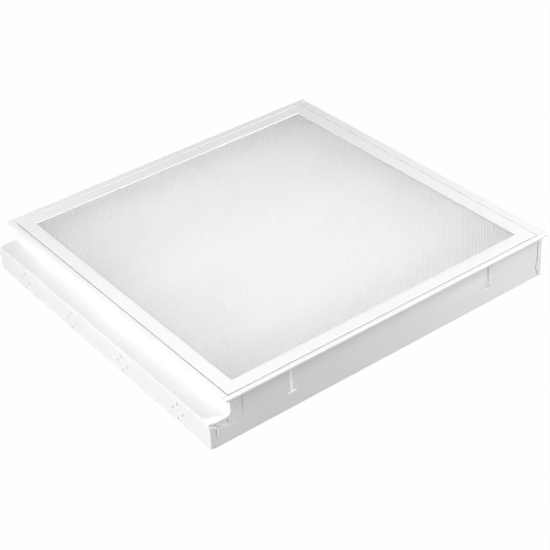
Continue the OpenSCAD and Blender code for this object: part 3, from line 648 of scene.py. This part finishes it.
# Wires: each lead of the harness by itself, twisted round the middle of its run
WIRE_R = 0.85 * MM
WIRE_LAY = 46 * MM
WIRE_STEP = 4 * MM
BUNDLE_R = 2 * MM
TRUNK_FROM_CASE = 9 * MM
BRANCH_FROM_HOLDERS = 7 * MM
LEAD_SHORT = 1.7 * MM
FEED_FROM_NUTS = 6 * MM
INTO_CASE = 14 * MM
TRUNK_COLOURS = ["wire_insulation", "wire_white", "wire_blue", "wire_red"]
BRANCH_COLOURS = ["wire_blue", "wire_red", "wire_yellow"]


def tube_along(points, radius, sides=8):
    """Vertices and faces of a closed round tube along a list of points."""
    verts, faces = [], []
    for k, point in enumerate(points):
        ahead = points[min(k + 1, len(points) - 1)] - points[max(k - 1, 0)]
        turn = ahead.to_track_quat("Z", "Y")
        for n in range(sides):
            angle = math.tau * n / sides
            rim = turn @ Vector((math.cos(angle) * radius, math.sin(angle) * radius, 0))
            verts.append(point + rim)
    for k in range(len(points) - 1):
        for n in range(sides):
            a, b = k * sides + n, k * sides + (n + 1) % sides
            faces.append((a, b, b + sides, a + sides))
    last = (len(points) - 1) * sides
    faces.append(tuple(reversed(range(sides))))
    faces.append(tuple(last + n for n in range(sides)))
    return verts, faces


def wire_run(name, start, end, colours, materials):
    """A straight run of leads from start to end, one piece for each colour."""
    along = end - start
    turn = along.to_track_quat("Z", "Y")
    steps = max(2, round(along.length / WIRE_STEP))
    apart = WIRE_R / math.sin(math.pi / len(colours)) if len(colours) > 1 else 0.0
    for n, colour in enumerate(colours):
        points = []
        for k in range(steps + 1):
            share = k / steps
            angle = math.tau * (n / len(colours) + share * along.length / WIRE_LAY)
            side = Vector((math.cos(angle) * apart, math.sin(angle) * apart, 0))
            points.append(start + along * share + turn @ side)
        verts, faces = tube_along(points, WIRE_R)
        wire = new_piece(name + "_" + colour, verts, faces, materials[colour],
                         "housing")
        wire.data.shade_smooth()
        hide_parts("wiring_harness")


def branch_wires(materials, side, face, inward, level):
    """A branch along one side's lampholders, and a lead from it to each holder's face."""
    rows = [middle_of("lamp_%d_tube" % k).y for k in (1, 2, 3, 4)]
    x = face + inward * BRANCH_FROM_HOLDERS
    inner = x - inward * LEAD_SHORT
    wire_run("branch_" + side, Vector((x, rows[0], level)), Vector((x, rows[3], level)),
             BRANCH_COLOURS, materials)
    for k, y in enumerate(rows):
        wire_run("lead_%s_%d" % (side, k + 1), Vector((face, y, level)), Vector((inner, y, level)),
                 [BRANCH_COLOURS[k % len(BRANCH_COLOURS)]], materials)


def feed_wires(materials, trunk_y, level, case_x):
    """The wires from the trunk through the three connectors into the ballast."""
    low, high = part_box("wire_connectors")
    nut_r = (high.z - low.z) / 2
    nut_level = low.z + nut_r
    x = low.x - FEED_FROM_NUTS
    turn = Vector((x, trunk_y, nut_level))
    wire_run("riser", Vector((x, trunk_y, level)), turn, BRANCH_COLOURS, materials)
    wire_run("feed", turn, Vector((x, low.y + nut_r, nut_level)), BRANCH_COLOURS, materials)
    for k, colour in enumerate(BRANCH_COLOURS):
        share = k / (len(BRANCH_COLOURS) - 1)
        y = low.y + nut_r + share * (high.y - low.y - 2 * nut_r)
        wire_run("tail_in_%d" % (k + 1), Vector((x, y, nut_level)), Vector((low.x, y, nut_level)),
                 [colour], materials)
        wire_run("tail_out_%d" % (k + 1), Vector((high.x, y, nut_level)),
                 Vector((case_x + INTO_CASE, y, nut_level)), [colour], materials)


def wires(materials):
    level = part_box("wiring_harness")[0].z + BUNDLE_R
    case_low, case_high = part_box("ballast_case")
    trunk_y = case_high.y + TRUNK_FROM_CASE
    sides = {"wing": (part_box("lampholder_1_wing")[1].x, 1),
             "plain": (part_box("lampholder_1_plain")[0].x, -1)}
    ends = []
    for face, inward in sides.values():
        x = face + inward * (BRANCH_FROM_HOLDERS + 2 * BUNDLE_R)
        ends.append(Vector((x, trunk_y, level)))
    wire_run("trunk", *ends, TRUNK_COLOURS, materials)
    for side, (face, inward) in sides.items():
        branch_wires(materials, side, face, inward, level)
    feed_wires(materials, trunk_y, level, case_low.x)


bpy.context.scene.view_settings.view_transform = "Standard"
make_camera()
MATERIALS = make_materials()
SLOTS = {row["node"]: row["material_slot"] for row in frame["record"]["subparts"]}
paint_nodes(MATERIALS, SLOTS)
round_edges(SLOTS)
prism_lens(MATERIALS)
spot_welds(MATERIALS)
pocket_lips(MATERIALS)
trim_ledge(MATERIALS)
wires(MATERIALS)
make_floor()
make_world()
make_lamps()
